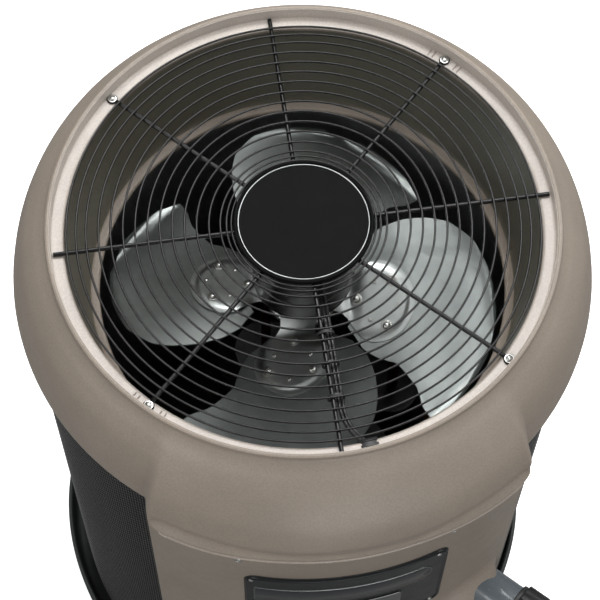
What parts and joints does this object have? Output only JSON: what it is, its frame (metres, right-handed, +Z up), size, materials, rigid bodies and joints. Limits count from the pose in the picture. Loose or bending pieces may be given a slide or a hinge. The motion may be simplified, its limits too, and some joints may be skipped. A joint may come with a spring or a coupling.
{
  "type": "pool heat pump unit",
  "caption": "Round top-discharge heat pump for pools: wire-guarded axial fan in a flared shroud, mesh-wrapped coil, front control panel and water unions.",
  "frame": {"origin": "on the fan axis, at the underside of the base pan", "axes": "+Z up along the fan axis; the front with the control panel faces -Y; +X to the right seen from the front"},
  "size_m": [0.848, 0.9335, 1.08],
  "materials": {
    "shroud_plastic": "satin",
    "panel_plastic": "satin",
    "base_plastic": "matte",
    "mesh_plastic": "matte",
    "coil_fins": "satin",
    "copper": "satin",
    "galvanised": "satin",
    "guard_wire": "gloss",
    "badge_plastic": "satin",
    "blade_aluminium": "satin",
    "spider_steel": "satin",
    "fastener_steel": "polished",
    "motor_paint": "satin",
    "motor_core": "matte",
    "bearing_steel": "polished",
    "cable_rubber": "satin",
    "bezel_plastic": "satin",
    "label_film": "gloss",
    "display_glass": "gloss",
    "button_plastic": "satin",
    "board": "satin",
    "box_steel": "satin",
    "device_plastic": "satin",
    "vessel_paint": "satin",
    "exchanger_plastic": "satin",
    "titanium": "satin",
    "pvc_grey": "satin",
    "union_black": "satin",
    "seal_rubber": "matte"
  },
  "bodies": {
    "root": {"base_pan": "base_plastic", "top_shroud": "shroud_plastic", "front_panel": "panel_plastic", "support_posts": "galvanised", "panel_screws": "fastener_steel", "mesh_guard": "mesh_plastic", "evaporator_coil": "coil_fins", "coil_end_plates": "galvanised", "coil_tubes": "copper", "guard_spokes": "guard_wire", "guard_rings": "guard_wire", "guard_screws": "fastener_steel", "badge": "badge_plastic", "motor_shell": "motor_paint", "motor_end_bells": "motor_paint", "motor_stator": "motor_core", "motor_bearings": "bearing_steel", "motor_mount_plate": "galvanised", "motor_mount_studs": "fastener_steel", "motor_cable": "cable_rubber", "strain_relief": "cable_rubber", "cable_ties": "device_plastic", "control_bezel": "bezel_plastic", "label_strip": "label_film", "display_window": "display_glass", "bezel_screws": "fastener_steel", "control_board": "board", "electrical_box": "box_steel", "contactor": "device_plastic", "run_capacitor": "galvanised", "transformer": "motor_core", "terminal_block": "device_plastic", "compressor": "vessel_paint", "compressor_pump": "motor_core", "compressor_grommets": "seal_rubber", "heat_exchanger_shell": "exchanger_plastic", "heat_exchanger_coil": "titanium", "accumulator": "vessel_paint", "filter_drier": "copper", "refrigerant_lines": "copper", "water_pipes": "pvc_grey", "union_bodies": "pvc_grey", "union_seals": "seal_rubber", "union_tailpieces": "pvc_grey", "conduit_fitting": "pvc_grey"},
    "fan": {"fan_hub": "galvanised", "fan_spider": "spider_steel", "fan_blade_1": "blade_aluminium", "fan_blade_2": "blade_aluminium", "fan_blade_3": "blade_aluminium", "fan_blade_4": "blade_aluminium", "fan_bolts": "fastener_steel", "motor_shaft": "bearing_steel", "motor_rotor": "motor_core"},
    "outlet_nut": {"union_nut_outlet": "union_black"},
    "inlet_nut": {"union_nut_inlet": "union_black"},
    "mode_button": {"button_mode": "button_plastic"},
    "down_button": {"button_down": "button_plastic"},
    "up_button": {"button_up": "button_plastic"},
    "armature": {"contactor_armature": "motor_core"}
  },
  "joints": [
    {"name": "fan_spin", "type": "hinge", "parent": "root", "child": "fan", "pos_m": [0, 0, 0.851], "axis": [0, 0, -1], "continuous": true},
    {"name": "outlet_nut_turn", "type": "hinge", "parent": "root", "child": "outlet_nut", "pos_m": [0.30264, -0.45962, 0.541], "axis": [0.7071, -0.7071, 0], "continuous": true},
    {"name": "inlet_nut_turn", "type": "hinge", "parent": "root", "child": "inlet_nut", "pos_m": [0.30264, -0.45962, 0.341], "axis": [0.7071, -0.7071, 0], "continuous": true},
    {"name": "mode_press", "type": "slide", "parent": "root", "child": "mode_button", "axis": [0.1392, 0.9903, 0], "range_m": [0, 0.0012], "stiffness_N_per_m": 600},
    {"name": "down_press", "type": "slide", "parent": "root", "child": "down_button", "axis": [0, 1, 0], "range_m": [0, 0.0012], "stiffness_N_per_m": 600},
    {"name": "up_press", "type": "slide", "parent": "root", "child": "up_button", "axis": [-0.1392, 0.9903, 0], "range_m": [0, 0.0012], "stiffness_N_per_m": 600},
    {"name": "armature_pull", "type": "slide", "parent": "root", "child": "armature", "axis": [0, 1, 0], "range_m": [0, 0.004], "stiffness_N_per_m": 400}
  ]
}
